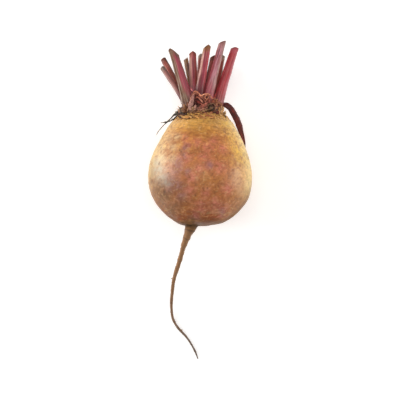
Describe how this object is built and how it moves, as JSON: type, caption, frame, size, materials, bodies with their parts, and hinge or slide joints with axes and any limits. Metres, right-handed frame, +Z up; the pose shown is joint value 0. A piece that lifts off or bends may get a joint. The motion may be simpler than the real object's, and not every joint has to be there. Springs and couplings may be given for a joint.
{
  "type": "beetroot",
  "caption": "Whole yellow-skinned beetroot lying on its side, with its tap root, rough crown and leaf stalks cut short.",
  "frame": {"origin": "middle of the small flat spot on the root's underside that the beetroot rests on", "axes": "+Z up as it lies; +Y along the beetroot from its tap root to its cut leaf stalks; +X to the side"},
  "size_m": [0.0743, 0.2322, 0.0741],
  "materials": {
    "root_skin": "thin waxy root skin, softly glossy",
    "crown_tissue": "rough dry torn leaf bases",
    "leaf_stalk": "ribbed fresh stalk skin, satin",
    "wilted_stalk": "limp dark stalk, dull satin",
    "dry_fibre": "dry matt fibre"
  },
  "bodies": {
    "root": {"root": "root_skin", "crown": "crown_tissue", "leaf_stalk_01": "leaf_stalk", "leaf_stalk_02": "leaf_stalk", "leaf_stalk_03": "leaf_stalk", "leaf_stalk_04": "leaf_stalk", "leaf_stalk_05": "leaf_stalk", "leaf_stalk_06": "leaf_stalk", "leaf_stalk_07": "leaf_stalk", "leaf_stalk_08": "leaf_stalk", "leaf_stalk_09": "leaf_stalk", "leaf_stalk_10": "leaf_stalk", "leaf_stalk_11": "leaf_stalk", "leaf_stalk_12": "leaf_stalk", "leaf_stalk_13": "leaf_stalk", "leaf_stalk_14": "leaf_stalk", "leaf_stalk_15": "leaf_stalk", "wilted_stalk": "wilted_stalk", "dry_fibres": "dry_fibre"}
  },
  "joints": []
}
